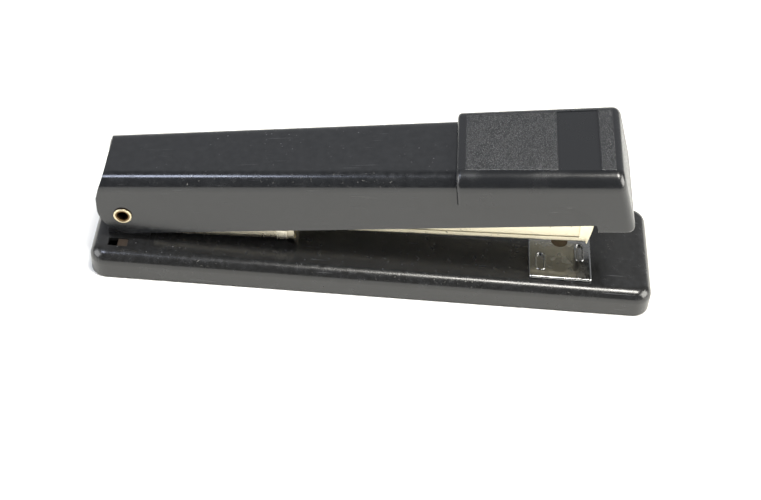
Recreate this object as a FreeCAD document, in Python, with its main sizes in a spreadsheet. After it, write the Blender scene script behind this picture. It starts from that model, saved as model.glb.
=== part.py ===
import FreeCAD, Part
import os
import re

import Sketcher

# Desk stapler, in millimetres. X runs from the hinge to the nose, Z is up, and the origin is
# the centre of the base's footprint on the table.
#
# Three frames are used. The base is modelled in the object's own frame. The magazine and the
# handle are modelled in frames whose origin is the hinge pin's axis and whose X runs forward
# along the piece, and their placements then tilt them nose-up by their rest angles.

DIMS = {
    # base
    "base_length": 201.4,
    "base_width": 47.4,
    "base_top": 10.8,
    "base_wall": 1.5,
    "base_edge_radius": 4.3,
    "base_corner_radius": 6.2,
    "pad_lip": 0.8,
    "pad_height": 3.6,
    "pad_wall": 2.0,
    "pad_inset": 0.5,
    # hinge
    "pin_inset": 11.9,
    "pin_height": 11.5,
    "pin_radius": 2.5,
    "pin_bore": 2.0,
    "pin_flange_radius": 3.25,
    "pin_flange": 0.5,
    "pin_side_gap": 0.15,
    "running_gap": 0.05,
    "ear_sheet": 1.2,
    "ear_radius": 6.0,
    "ear_back": 6.2,
    "ear_front": 8.8,
    "ear_slot_gap": 0.1,
    "ear_side_gap": 0.1,
    "yoke_behind": 7.6,
    "yoke_ahead": 12.8,
    "tab_from": 0.333,
    "tab_to": 0.811,
    "slot_behind": 5.6,
    "slot_ahead": 1.4,
    "tab_length": 3.6,
    "tab_drop": 0.3,
    "yoke_rivet_behind": 5.7,
    "yoke_rivet_y": 5.0,
    "yoke_rivet_radius": 1.5,
    "small_head_radius": 2.6,
    "small_head": 0.8,
    # anvil
    "anvil_length": 22.5,
    "anvil_margin": 0.6,
    "anvil_sheet": 1.2,
    "anvil_edge_radius": 0.7,
    "groove_offset": 7.1,
    "clinch_inner": 1.2,
    "clinch_outer": 9.2,
    "pin_inner": 6.9,
    "pin_end_margin": 3.9,
    "groove_width": 2.4,
    "groove_rim": 0.6,
    "groove_rim_drop": 0.2,
    "groove_depth": 0.7,
    "stud_radius": 2.0,
    "stud_head_radius": 3.0,
    "stud_head": 0.6,
    "button_low": 1.2,
    "button_radius": 5.5,
    "button_height": 2.8,
    "button_recess": 0.8,
    "button_hole_gap": 2.0,
    "anvil_coil_radius": 3.6,
    "anvil_wire_radius": 0.35,
    "anvil_coil_turns": 3.0,
    # magazine
    "magazine_tilt": 2.1,
    "magazine_half": 8.0,
    "magazine_low": 8.0,
    "magazine_high": 3.4,
    "magazine_sheet": 1.0,
    "magazine_lip": 0.35,
    "magazine_lip_height": 2.4,
    "magazine_back": 12.0,
    "magazine_front": 162.7,
    "driver_slot": 1.4,
    "rail_half": 5.6,
    "rail_top": 1.6,
    "rail_sheet": 0.8,
    "rail_back": 30.0,
    "rail_front_gap": 0.2,
    "nose_thickness": 2.1,
    "nose_toe": 0.5,
    "nose_bend": 0.4,
    "nose_high": 5.6,
    "nose_wing": 0.8,
    "nose_wing_back": 161.6,
    "bracket_back": 14.0,
    "bracket_sheet": 1.2,
    "bracket_high": 3.0,
    "rod_height": 0.6,
    "rod_radius": 1.0,
    "rod_front": 160.5,
    "rod_head_radius": 1.8,
    "rod_head": 1.2,
    "pusher_length": 16.0,
    "pusher_high": 2.6,
    "pusher_front_gap": 0.5,
    "slide_gap": 0.2,
    "push_coil_radius": 1.7,
    "push_wire_radius": 0.3,
    "push_coil_turns": 26.0,
    # carrier round the magazine's rear, and the leaf spring under it
    "carrier_side_gap": 0.15,
    "carrier_sheet": 1.0,
    "carrier_low": 10.2,
    "carrier_high": 4.0,
    "carrier_bend": 2.4,
    "carrier_clear": 0.8,
    "carrier_front": 60.3,
    "carrier_end_radius": 7.0,
    "boss_radius": 4.2,
    "boss_rear": 24.0,
    "boss_front": 44.0,
    "magazine_rivet_radius": 1.5,
    "leaf_back": 14.0,
    "leaf_margin": 1.6,
    "leaf_sheet": 0.5,
    "leaf_toe": 61.6,
    "leaf_ear_back": 54.0,
    "leaf_ear_width": 4.0,
    "leaf_ear_high": 5.0,
    # handle cover
    "handle_tilt": 7.2,
    "drive_stroke": 4.0,
    "cover_half": 14.0,
    "cover_spread": 0.0275,
    "cover_sheet": 1.2,
    "cover_high": 16.4,
    "cover_edge_radius": 5.5,
    "cover_low": 8.9,
    "cover_rise": 0.0265,
    "cover_front": 168.0,
    "cheek_radius": 11.0,
    "cheek_x": 2.1,
    "cheek_z": 2.0,
    "cheek_mid_x": 8.3,
    "cheek_mid_z": 7.8,
    "cheek_up_x": 6.7,
    "cheek_up_z": 12.2,
    "cheek_top_x": 4.6,
    # cap on the cover's head
    "cap_back": 118.4,
    "cap_top": 18.65,
    "cap_side": 2.3,
    "cap_edge_radius": 6.0,
    "cap_front_radius": 3.0,
    "cap_rim_radius": 1.6,
    "cap_front_top": 174.8,
    "cap_front_low": 179.3,
    "cap_low": 6.5,
    "cap_chin_radius": 1.6,
    "cap_skirt_back": 6.95,
    "cap_skirt_front": 6.75,
    "cap_throat_x": 153.4,
    "cap_throat_z": 6.3,
    "cap_wall": 2.4,
    "cap_chamber_high": 12.0,
    "band_back": 153.1,
    "band_front": 167.05,
    "band_depth": 0.25,
    "band_inset": 5.3,
    "post_x": 138.0,
    "post_y": 8.6,
    "post_radius": 2.0,
    "post_gap": 0.1,
    "post_low": 13.6,
    "clip_radius": 3.3,
    "clip_sheet": 0.6,
    # driver and the handle's return leaf
    "strap_back": 120.0,
    "strap_half": 4.5,
    "strap_sheet": 1.0,
    "blade_x": 163.4,
    "blade_sheet": 0.8,
    "blade_side_gap": 0.75,
    "blade_lift": 0.15,
    "blade_foot_back": 146.0,
    "driver_rivet_radius": 1.6,
    "driver_rivet_rear": 127.0,
    "driver_rivet_front": 152.0,
    "driver_head_radius": 3.0,
    "driver_head": 0.7,
    "driver_head_gap": 0.3,
    "return_back": 22.0,
    "return_bend": 36.0,
    "return_touch": 108.0,
    "return_toe": 113.0,
    "return_toe_rise": 1.2,
    "return_margin": 0.1,
    "return_sheet": 0.6,
    "touch_gap": 0.02,
}

# sizes that follow from others, so that pieces that fit each other keep doing so
TIES = {
    "pin_x": "pin_inset - base_length / 2",
    "pin_z": "base_top + pin_height",
    "anvil_x": "pin_x + blade_x - groove_offset",
    "anvil_width": "base_width - 2 * (base_edge_radius + anvil_margin)",
    "carrier_half": "cover_half - cover_spread * carrier_end_radius - cover_sheet - carrier_side_gap",
    "ear_outer": "carrier_half - carrier_sheet - ear_side_gap",
    "carrier_back": "ear_front + carrier_clear",
    "leaf_half": "carrier_half - leaf_margin",
    "pusher_half": "magazine_half - magazine_sheet - slide_gap",
    "blade_half": "magazine_half - magazine_sheet - blade_side_gap",
    "return_half": "magazine_half - return_margin",
    "strip_in": "ear_outer + ear_slot_gap",
    "strip_out": "base_width / 2 - base_edge_radius",
    "tab_inner": "strip_in + (strip_out - strip_in) * tab_from",
    "tab_outer": "strip_in + (strip_out - strip_in) * tab_to",
    "pin_outer": "anvil_width / 2 - pin_end_margin",
    "tab_slot_back": "pin_x - slot_behind",
    "tab_slot_front": "pin_x + slot_ahead",
    "yoke_rivet_x": "pin_x - yoke_rivet_behind",
}

BIG = "400"  # longer than the stapler, for a cut that goes right through
NAME = re.compile(r"[a-z]+(?:_[a-z]+)+")

doc = FreeCAD.newDocument("stapler")
sheet = doc.addObject("Spreadsheet::Sheet", "Dims")
for row, (alias, value) in enumerate(DIMS.items(), start=1):
    sheet.set(f"A{row}", alias)
    sheet.set(f"B{row}", str(value))
    sheet.setAlias(f"B{row}", alias)
doc.recompute()


def link(formula):
    """Turn a formula in dimension names into an expression that reads the sheet."""

    def swap(match):
        name = match.group()
        if name in TIES:
            return f"({link(TIES[name])})"
        return f"Dims.{name}" if name in DIMS else name

    return NAME.sub(swap, formula)


def turned(tilt):
    """Placement of a frame on the hinge pin's axis, tilted nose-up by tilt degrees."""
    return (
        "create(<<placement>>; create(<<vector>>; pin_x; 0; pin_z);"
        f" create(<<rotation>>; create(<<vector>>; 0; -1; 0); {tilt}))"
    )


def shifted(x, y, z):
    """Placement of a frame at a point, not turned."""
    return (
        f"create(<<placement>>; create(<<vector>>; {x}; {y}; {z});"
        " create(<<rotation>>; create(<<vector>>; 0; 0; 1); 0))"
    )


BASE_FRAME = shifted("0", "0", "0")
ANVIL_FRAME = shifted("anvil_x", "0", "base_top")
MAGAZINE_FRAME = turned("magazine_tilt")
HANDLE_FRAME = turned("handle_tilt")


class Piece:
    """One sub-part: a PartDesign body made of pads, pockets and fillets tied to the sheet."""

    def __init__(self, label, frame):
        self.body = doc.addObject("PartDesign::Body", label)
        self.body.Label = label
        self.body.setExpression("Placement", link(frame))
        self.count = 0

    def sketch(self, plane, lo, hi):
        """A sketch on an origin plane, moved to the middle of the span from lo to hi."""
        self.count += 1
        sketch = doc.addObject("Sketcher::SketchObject", f"{self.body.Name}_outline{self.count}")
        self.body.addObject(sketch)
        support = next(f for f in self.body.Origin.OriginFeatures if f.Role == f"{plane}_Plane")
        sketch.AttachmentSupport = [(support, "")]
        sketch.MapMode = "FlatFace"
        side = "-1" if plane == "XZ" else "1"
        sketch.setExpression("AttachmentOffset.Base.z", link(f"{side} * (({lo}) + ({hi})) / 2"))
        return sketch

    def grow(self, sketch, lo, hi, cut):
        """Pad or pocket the sketch evenly about its plane, through the span from lo to hi."""
        before = self.body.Shape.Volume if self.body.Tip else 0.0
        kind = "Pocket" if cut else "Pad"
        feature = doc.addObject(f"PartDesign::{kind}", f"{self.body.Name}_{kind}{self.count}")
        self.body.addObject(feature)
        feature.Profile = sketch
        feature.SideType = "Symmetric"
        feature.setExpression("Length", link(f"({hi}) - ({lo})"))
        sketch.Visibility = False
        doc.recompute()
        after = self.body.Shape.Volume
        if cut and after > before - 1e-6:
            raise ValueError(f"{feature.Label} removed nothing")
        return feature

    def prism(self, plane, lo, hi, outlines, cut=False):
        """Pad or pocket closed outlines, each a list of (across, up) formulas."""
        sketch = self.sketch(plane, lo, hi)
        for outline in outlines:
            start = sketch.GeometryCount
            size = len(outline)
            for n in range(size):
                a = FreeCAD.Vector(10 * (n + start), 7 * (n % 3), 0)
                b = FreeCAD.Vector(10 * (n + start) + 5, 7 * (n % 3) + 3, 0)
                sketch.addGeometry(Part.LineSegment(a, b))
            for n in range(size):
                sketch.addConstraint(
                    Sketcher.Constraint("Coincident", start + n, 2, start + (n + 1) % size, 1)
                )
            for n, (across, up) in enumerate(outline):
                self.pin(sketch, "DistanceX", start + n, 1, across)
                self.pin(sketch, "DistanceY", start + n, 1, up)
        return self.grow(sketch, lo, hi, cut)

    def discs(self, plane, lo, hi, circles, cut=False):
        """Pad or pocket circles, each (across, up, radius) formulas."""
        sketch = self.sketch(plane, lo, hi)
        for across, up, radius in circles:
            centre = FreeCAD.Vector(1 + sketch.GeometryCount, 1, 0)
            n = sketch.addGeometry(Part.Circle(centre, FreeCAD.Vector(0, 0, 1), 0.5))
            self.pin(sketch, "DistanceX", n, 3, across)
            self.pin(sketch, "DistanceY", n, 3, up)
            k = sketch.addConstraint(Sketcher.Constraint("Radius", n, 0.5))
            sketch.setExpression(f"Constraints[{k}]", link(radius))
        return self.grow(sketch, lo, hi, cut)

    @staticmethod
    def pin(sketch, kind, geometry, point, formula):
        k = sketch.addConstraint(Sketcher.Constraint(kind, -1, 1, geometry, point, 1.0))
        sketch.setExpression(f"Constraints[{k}]", link(formula))

    def rounded(self, lo, hi, long, wide, radius, cut=False):
        """Pad or pocket a round-cornered rectangle in plan, given by its half sizes."""
        for a, b in ((long, f"{wide} - ({radius})"), (f"{long} - ({radius})", wide)):
            self.prism("XY", lo, hi, [rectangle(f"-({a})", f"-({b})", a, b)], cut)
        corners = [
            (f"{i} * ({long} - ({radius}))", f"{j} * ({wide} - ({radius}))", radius)
            for i in (-1, 1)
            for j in (-1, 1)
        ]
        self.discs("XY", lo, hi, corners, cut)

    def tube(self, plane, lo, hi, across, up, outer, bore):
        """A round tube along the plane's normal."""
        self.discs(plane, lo, hi, [(across, up, outer), (across, up, bore)])

    def fillet(self, radius, wanted):
        """Round the edges that wanted(edge) picks from the shape so far, in the piece's frame."""
        base = self.body.Tip
        shape = base.Shape
        names = [f"Edge{n}" for n, edge in enumerate(shape.Edges, start=1) if wanted(edge)]
        if not names:
            raise ValueError(f"no edge to round on {self.body.Label}")
        feature = doc.addObject("PartDesign::Fillet", f"{self.body.Name}_Fillet{self.count}")
        self.body.addObject(feature)
        feature.Base = (base, names)
        feature.setExpression("Radius", link(radius))
        doc.recompute()
        if not feature.isValid():
            raise ValueError(f"rounding failed on {self.body.Label}: {names}")

    def coil(self, plane, at, axis, across, up, wire, length, turns):
        """A round-wire coil spring about the sketch's own axis."""
        sketch = self.sketch(plane, at, at)
        n = sketch.addGeometry(Part.Circle(FreeCAD.Vector(1, 1, 0), FreeCAD.Vector(0, 0, 1), 0.5))
        self.pin(sketch, "DistanceX", n, 3, across)
        self.pin(sketch, "DistanceY", n, 3, up)
        k = sketch.addConstraint(Sketcher.Constraint("Radius", n, 0.5))
        sketch.setExpression(f"Constraints[{k}]", link(wire))
        feature = doc.addObject("PartDesign::AdditiveHelix", f"{self.body.Name}_Coil")
        self.body.addObject(feature)
        feature.Profile = sketch
        feature.ReferenceAxis = (sketch, [axis])
        feature.Mode = "pitch-height-angle"
        feature.setExpression("Pitch", link(f"({length}) / {turns}"))
        feature.setExpression("Height", link(length))
        sketch.Visibility = False
        doc.recompute()


def value(alias):
    """A dimension's number, for picking edges by where they are."""
    return float(sheet.get(alias))


def near(a, b):
    return abs(a - b) < 1e-3


def runs_along(edge, axis):
    """Whether an edge is straight and lies along an axis, give or take a small taper."""
    if not isinstance(edge.Curve, Part.Line):
        return False
    return abs(edge.Curve.Direction[axis]) > 0.99


def flat_at(edge, axis, where):
    """Whether every corner of an edge is at one level along an axis."""
    box = edge.BoundBox
    low = (box.XMin, box.YMin, box.ZMin)[axis]
    high = (box.XMax, box.YMax, box.ZMax)[axis]
    return near(low, where) and near(high, where)


def rectangle(left, low, right, high):
    return [(left, low), (right, low), (right, high), (left, high)]


X, Y, Z = 0, 1, 2

# ---------------------------------------------------------------- base

shell = Piece("base_shell", BASE_FRAME)
half_long, half_wide = "base_length / 2", "base_width / 2"
shell.rounded("pad_lip", "base_top", half_long, half_wide, "base_corner_radius")
shell.fillet("base_edge_radius", lambda e: flat_at(e, Z, value("base_top")))
in_long, in_wide = "base_length / 2 - base_wall", "base_width / 2 - base_wall"
in_radius = "base_corner_radius - base_wall"
shell.rounded("-base_wall", "base_top - base_wall", in_long, in_wide, in_radius, cut=True)
ceiling = value("base_top") - value("base_wall")
shell.fillet("base_edge_radius - base_wall", lambda e: flat_at(e, Z, ceiling))
slots = []
for side in ("-", ""):
    slots.append(
        rectangle("tab_slot_back", f"{side}tab_inner", "tab_slot_front", f"{side}tab_outer")
    )
    slots.append(
        rectangle(
            "pin_x - ear_back - ear_slot_gap", f"{side}1 * (ear_outer + ear_slot_gap)",
            "pin_x + ear_front + ear_slot_gap", f"{side}1 * (ear_outer - ear_sheet - ear_slot_gap)",
        )
    )
shell.prism("XY", "base_top / 2", "base_top * 2", slots, cut=True)
shell.discs(
    "XY", "base_top / 2", "base_top * 2",
    [
        ("anvil_x", "0", "stud_radius + running_gap"),
        ("yoke_rivet_x", "yoke_rivet_y", "yoke_rivet_radius"),
        ("yoke_rivet_x", "-yoke_rivet_y", "yoke_rivet_radius"),
    ],
    cut=True,
)

pad = Piece("base_pad", BASE_FRAME)
lip_long, lip_wide = "base_length / 2 - pad_inset", "base_width / 2 - pad_inset"
rim_long = "base_length / 2 - base_wall - running_gap"
rim_wide = "base_width / 2 - base_wall - running_gap"
pad.rounded("0", "pad_lip", lip_long, lip_wide, "base_corner_radius - pad_inset")
pad.rounded("pad_lip", "pad_height", rim_long, rim_wide, in_radius)
floor_long, floor_wide = f"{rim_long} - pad_wall", f"{rim_wide} - pad_wall"
pad.rounded("pad_lip", "pad_height * 2", floor_long, floor_wide, f"{in_radius} - pad_wall", cut=True)
pad.discs("XY", "-1", "pad_lip * 2", [("anvil_x", "0", "button_radius + button_hole_gap")], cut=True)

# the yoke's floor lies against the underside of the base, and its ears come up through slots
yoke = Piece("hinge_yoke", BASE_FRAME)
ceiling_z = "base_top - base_wall"
yoke.prism(
    "XY", f"{ceiling_z} - ear_sheet", ceiling_z,
    [rectangle("pin_x - yoke_behind", "-ear_outer", "pin_x + yoke_ahead", "ear_outer")],
)
yoke.prism(
    "XY", f"{ceiling_z} - ear_sheet", ceiling_z,
    [rectangle("tab_slot_front - tab_length", "ear_slot_gap - tab_outer",
               "tab_slot_front - ear_slot_gap", "tab_outer - ear_slot_gap")],
)
for side in ("-", ""):
    yoke.prism(
        "XY", f"{ceiling_z} - ear_sheet / 2", "base_top - tab_drop",
        [rectangle("tab_slot_front - tab_length", f"{side}1 * (tab_inner + ear_slot_gap)",
                   "tab_slot_front - ear_slot_gap", f"{side}1 * (tab_outer - ear_slot_gap)")],
    )
yoke.prism(
    "XZ", "-ear_outer", "ear_outer",
    [[("pin_x - ear_back", f"{ceiling_z} - ear_sheet"), ("pin_x + ear_front", f"{ceiling_z} - ear_sheet"),
      ("pin_x + ear_front", "base_top"), ("pin_x + ear_radius * 0.96", "pin_z + ear_radius * 0.28"),
      ("pin_x - ear_radius * 0.96", "pin_z + ear_radius * 0.28"), ("pin_x - ear_back", "base_top")]],
)
yoke.discs("XZ", "-ear_outer", "ear_outer", [("pin_x", "pin_z", "ear_radius")])
yoke.prism(
    "XZ", "-ear_outer + ear_sheet", "ear_outer - ear_sheet",
    [rectangle("-base_length", ceiling_z, "0", "pin_z * 2")],
    cut=True,
)
yoke.discs("XZ", "-base_width", "base_width", [("pin_x", "pin_z", "pin_radius")], cut=True)
yoke.discs(
    "XY", "0", "base_top",
    [("yoke_rivet_x", "yoke_rivet_y", "yoke_rivet_radius"),
     ("yoke_rivet_x", "-yoke_rivet_y", "yoke_rivet_radius")],
    cut=True,
)

for label, side in (("yoke_rivet_near", "-"), ("yoke_rivet_far", "")):
    rivet = Piece(label, shifted("yoke_rivet_x", f"{side}yoke_rivet_y", "base_top"))
    under = "-base_wall - ear_sheet"
    rivet.discs("XY", under, "0", [("0", "0", "yoke_rivet_radius")])
    rivet.discs("XY", "0", "small_head", [("0", "0", "small_head_radius")])
    rivet.discs("XY", f"{under} - small_head", under, [("0", "0", "small_head_radius")])
    rivet.fillet("small_head / 2", lambda e: flat_at(e, Z, value("small_head")))

pivot = Piece("pivot_rivet", shifted("pin_x", "0", "pin_z"))
side_face = "cover_half + pin_side_gap"
pivot.discs("XZ", f"-({side_face}) - pin_flange / 2", f"{side_face} + pin_flange / 2",
            [("0", "0", "pin_radius")])
for side in ("-", ""):
    lo, hi = f"{side}1 * ({side_face})", f"{side}1 * ({side_face} + pin_flange)"
    pivot.discs("XZ", *((hi, lo) if side else (lo, hi)), [("0", "0", "pin_flange_radius")])
pivot.discs("XZ", "-base_width", "base_width", [("0", "0", "pin_bore")], cut=True)
flange_y = value("cover_half") + value("pin_side_gap") + value("pin_flange")
pivot.fillet("pin_flange * 0.45", lambda e: flat_at(e, Y, flange_y) or flat_at(e, Y, -flange_y))

# ---------------------------------------------------------------- anvil

plate = Piece("anvil_plate", ANVIL_FRAME)
plate.prism(
    "XY", "0", "anvil_sheet",
    [rectangle("-anvil_length / 2", "-anvil_width / 2", "anvil_length / 2", "anvil_width / 2")],
)
plate.fillet("anvil_edge_radius * 1.6", lambda e: runs_along(e, Z))
plate.fillet("anvil_edge_radius", lambda e: flat_at(e, Z, value("anvil_sheet")))
deep, rim = "anvil_sheet - groove_depth", "anvil_sheet - groove_rim_drop"
for x, inner, outer in (
    ("groove_offset", "clinch_inner", "clinch_outer"),
    ("-groove_offset", "pin_inner", "pin_outer"),
):
    for floor, grow in ((rim, "groove_rim"), (deep, "0")):
        half = f"(groove_width / 2 + {grow})"
        for side in ("-1", "1"):
            a, b = f"{side} * ({inner} + groove_width / 2)", f"{side} * ({outer} - groove_width / 2)"
            plate.prism("XY", floor, "anvil_sheet * 2",
                        [rectangle(f"{x} - {half}", a, f"{x} + {half}", b)], cut=True)
            for end in (a, b):
                plate.discs("XY", floor, "anvil_sheet * 2", [(x, end, half)], cut=True)
plate.discs("XY", "-1", "anvil_sheet * 2", [("0", "0", "stud_radius")], cut=True)
plate.discs("XY", "anvil_sheet - stud_head", "anvil_sheet * 2", [("0", "0", "stud_head_radius")], cut=True)

stud = Piece("anvil_stud", ANVIL_FRAME)
button_floor = "button_low - base_top"
stud.discs("XY", button_floor, "anvil_sheet", [("0", "0", "stud_radius")])
stud.discs("XY", "anvil_sheet - stud_head", "anvil_sheet", [("0", "0", "stud_head_radius")])
stud.discs("XY", button_floor, f"{button_floor} + button_recess", [("0", "0", "stud_head_radius")])

button = Piece("anvil_button", ANVIL_FRAME)
button.discs("XY", button_floor, f"{button_floor} + button_height", [("0", "0", "button_radius")])
button.fillet("button_recess", lambda e: flat_at(e, Z, value("button_low") - value("base_top")))
button.discs("XY", "-base_top", "0", [("0", "0", "stud_radius + running_gap")], cut=True)
button.discs("XY", "-base_top", f"{button_floor} + button_recess",
             [("0", "0", "stud_head_radius + running_gap")], cut=True)

anvil_coil = Piece("anvil_spring", shifted("anvil_x", "0", "button_low + button_height"))
free = "base_top - base_wall - button_low - button_height - 2 * anvil_wire_radius"
anvil_coil.coil("XZ", "0", "V_Axis", "anvil_coil_radius", "anvil_wire_radius",
                "anvil_wire_radius", free, "anvil_coil_turns")

# ---------------------------------------------------------------- magazine

low, back, front = "-magazine_low", "magazine_back", "magazine_front"
slot_front = "magazine_front + driver_slot"

channel = Piece("magazine_channel", MAGAZINE_FRAME)
channel.prism("XZ", "-magazine_half", "magazine_half", [rectangle(back, low, slot_front, "magazine_high")])
lip_half = "magazine_half + magazine_lip"
lip_top = "-magazine_low + magazine_lip_height"
channel.prism("XZ", f"-({lip_half})", lip_half, [rectangle(back, low, slot_front, lip_top)])
channel.fillet("magazine_sheet", lambda e: runs_along(e, X) and flat_at(e, Z, -value("magazine_low")))
channel.prism(
    "XZ", "-magazine_half + magazine_sheet", "magazine_half - magazine_sheet",
    [rectangle("0", f"{low} + magazine_sheet", BIG, "magazine_high * 2")],
    cut=True,
)
channel.prism(
    "XZ", "-magazine_half + magazine_sheet", "magazine_half - magazine_sheet",
    [rectangle(front, "-2 * magazine_low", BIG, "0")],
    cut=True,
)
bosses = [("boss_rear", "0", "magazine_rivet_radius"), ("boss_front", "0", "magazine_rivet_radius")]
channel.discs("XY", "-2 * magazine_low", "-magazine_low / 2", bosses, cut=True)

rail = Piece("staple_rail", MAGAZINE_FRAME)
rail_floor, rail_end = "-magazine_low + magazine_sheet", "magazine_front - rail_front_gap"
rail.prism("XZ", "-rail_half", "rail_half", [rectangle("rail_back", rail_floor, rail_end, "-rail_top")])
rail.fillet("rail_sheet / 2", lambda e: runs_along(e, X) and flat_at(e, Z, -value("rail_top")))
rail.prism(
    "XZ", "-rail_half + rail_sheet", "rail_half - rail_sheet",
    [rectangle("0", "-2 * magazine_low", BIG, "-rail_top - rail_sheet")],
    cut=True,
)

nose = Piece("magazine_nose", MAGAZINE_FRAME)
nose_front = f"{slot_front} + nose_thickness"
nose.prism(
    "XZ", "-magazine_half - nose_wing", "magazine_half + nose_wing",
    [[(slot_front, low), (f"{slot_front} + nose_toe", low), (nose_front, "-nose_bend"),
      (nose_front, "nose_high"), (slot_front, "nose_high")]],
)
nose.prism(
    "XZ", "-magazine_half - nose_wing", "magazine_half + nose_wing",
    [rectangle("nose_wing_back", f"{lip_top} + touch_gap", slot_front, "magazine_high")],
)
nose.prism(
    "XZ", "-magazine_half", "magazine_half",
    [rectangle("0", "-2 * magazine_low", slot_front, "magazine_high * 2")],
    cut=True,
)
nose_x = value("magazine_front") + value("driver_slot") + value("nose_thickness")
nose.fillet("nose_wing", lambda e: runs_along(e, Z) and flat_at(e, X, nose_x))

bracket = Piece("rod_bracket", MAGAZINE_FRAME)
bracket_front = "bracket_back + bracket_sheet"
bracket.prism(
    "XZ", "-magazine_half + magazine_sheet", "magazine_half - magazine_sheet",
    [rectangle("bracket_back", rail_floor, bracket_front, "bracket_high")],
)
bracket.prism(
    "XZ", "-rail_half", "rail_half",
    [rectangle("bracket_back", rail_floor, "bracket_back + 4 * bracket_sheet",
               f"{rail_floor} + bracket_sheet")],
)
bracket.discs("YZ", "0", BIG, [("0", "rod_height", "rod_radius")], cut=True)

rod = Piece("guide_rod", MAGAZINE_FRAME)
rod.discs("YZ", "bracket_back - rod_head", "rod_front", [("0", "rod_height", "rod_radius")])
rod.discs("YZ", "bracket_back - rod_head", "bracket_back", [("0", "rod_height", "rod_head_radius")])
rod.fillet("rod_radius / 2", lambda e: flat_at(e, X, value("rod_front")))

pusher = Piece("pusher", MAGAZINE_FRAME)
pusher_front = "magazine_front - pusher_front_gap"
pusher_back = f"{pusher_front} - pusher_length"
pusher.prism(
    "XZ", "-pusher_half", "pusher_half",
    [rectangle(pusher_back, f"{rail_floor} + slide_gap", pusher_front, "pusher_high")],
)
pusher.fillet("slide_gap * 4", lambda e: runs_along(e, X) and flat_at(e, Z, value("pusher_high")))
pusher.prism(
    "XZ", "-rail_half - slide_gap", "rail_half + slide_gap",
    [rectangle("0", "-2 * magazine_low", BIG, "-rail_top + slide_gap")],
    cut=True,
)
pusher.discs("YZ", "0", BIG, [("0", "rod_height", "rod_radius + running_gap")], cut=True)

push_coil = Piece("pusher_spring", MAGAZINE_FRAME)
push_length = f"{pusher_back} - ({bracket_front}) - 2 * push_wire_radius"
push_coil.coil("XY", "rod_height", "H_Axis", f"{bracket_front} + push_wire_radius", "push_coil_radius",
               "push_wire_radius", push_length, "push_coil_turns")

carrier = Piece("magazine_carrier", MAGAZINE_FRAME)
floor = "-carrier_low"
carrier.prism(
    "XZ", "-carrier_half", "carrier_half",
    [[("carrier_back", floor), ("carrier_front", floor), ("carrier_front", "carrier_high"),
      ("0", "carrier_end_radius"), ("-carrier_end_radius", "0"),
      ("carrier_back", f"{floor} + carrier_bend")]],
)
carrier.discs("XZ", "-carrier_half", "carrier_half", [("0", "0", "carrier_end_radius")])
carrier.fillet("carrier_bend", lambda e: runs_along(e, X) and flat_at(e, Z, -value("carrier_low")))
carrier.prism(
    "XZ", "-carrier_half + carrier_sheet", "carrier_half - carrier_sheet",
    [rectangle("-carrier_end_radius * 2", f"{floor} + carrier_sheet", BIG, "carrier_end_radius * 2")],
    cut=True,
)
carrier_floor = value("carrier_sheet") - value("carrier_low")
carrier.fillet(
    "carrier_bend - carrier_sheet",
    lambda e: runs_along(e, X) and flat_at(e, Z, carrier_floor) and e.Length > 20,
)
carrier.discs(
    "XY", floor, low,
    [("boss_rear", "0", "boss_radius"), ("boss_front", "0", "boss_radius")],
)
carrier.discs(
    "XY", "-2 * carrier_low", "-magazine_low - carrier_sheet",
    [("boss_rear", "0", "boss_radius - carrier_sheet"), ("boss_front", "0", "boss_radius - carrier_sheet")],
    cut=True,
)
carrier.discs("XY", "-2 * carrier_low", "-magazine_low / 2", bosses, cut=True)
carrier.discs("XZ", "-base_width", "base_width", [("0", "0", "pin_radius + running_gap")], cut=True)

for label, x in (("magazine_rivet_rear", "boss_rear"), ("magazine_rivet_front", "boss_front")):
    rivet = Piece(label, MAGAZINE_FRAME)
    under, over = "-magazine_low - carrier_sheet", "-magazine_low + magazine_sheet"
    rivet.discs("XY", under, over, [(x, "0", "magazine_rivet_radius")])
    rivet.discs("XY", f"{under} - small_head", under, [(x, "0", "small_head_radius")])
    rivet.discs("XY", over, f"{over} + small_head", [(x, "0", "small_head_radius")])

leaf = Piece("lifter_spring", MAGAZINE_FRAME)
leaf_low = "-carrier_low - leaf_sheet"
table = "(base_top - pin_z - leaf_toe * sin(magazine_tilt)) / cos(magazine_tilt) + touch_gap"
leaf.prism(
    "XZ", "-leaf_half", "leaf_half",
    [[("leaf_back", floor), ("leaf_back", leaf_low), ("carrier_front - 0.4", leaf_low),
      ("leaf_toe - leaf_sheet", table), ("leaf_toe", table), ("carrier_front + leaf_sheet", floor)]],
)
ear_front = "leaf_ear_back + leaf_ear_width"
leaf.prism(
    "XZ", "-carrier_half - leaf_sheet", "carrier_half + leaf_sheet",
    [rectangle("leaf_ear_back", leaf_low, ear_front, "-leaf_ear_high")],
)
ear_line = max(abs(v.Y) for v in leaf.body.Shape.Vertexes) - 0.1
leaf.fillet(
    "carrier_bend + leaf_sheet",
    lambda e: runs_along(e, X) and flat_at(e, Z, -value("carrier_low") - value("leaf_sheet"))
    and abs(e.Vertexes[0].Y) > ear_line,
)
# the ears hug the carrier's rounded corners
flat_half, bend_up = "carrier_half - carrier_bend", f"{floor} + carrier_bend"
for half, up in ((flat_half, floor), ("carrier_half", bend_up)):
    leaf.prism("YZ", "leaf_ear_back - 1", f"{ear_front} + 1",
               [rectangle(f"-({half})", up, half, "0")], cut=True)
leaf.discs("YZ", "leaf_ear_back - 1", f"{ear_front} + 1",
           [(f"-({flat_half})", bend_up, "carrier_bend"), (flat_half, bend_up, "carrier_bend")],
           cut=True)
leaf.discs(
    "XY", "-2 * carrier_low", "0",
    [("boss_rear", "0", "boss_radius - carrier_sheet"),
     ("boss_front", "0", "boss_radius - carrier_sheet")],
    cut=True,
)

# ---------------------------------------------------------------- handle

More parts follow.
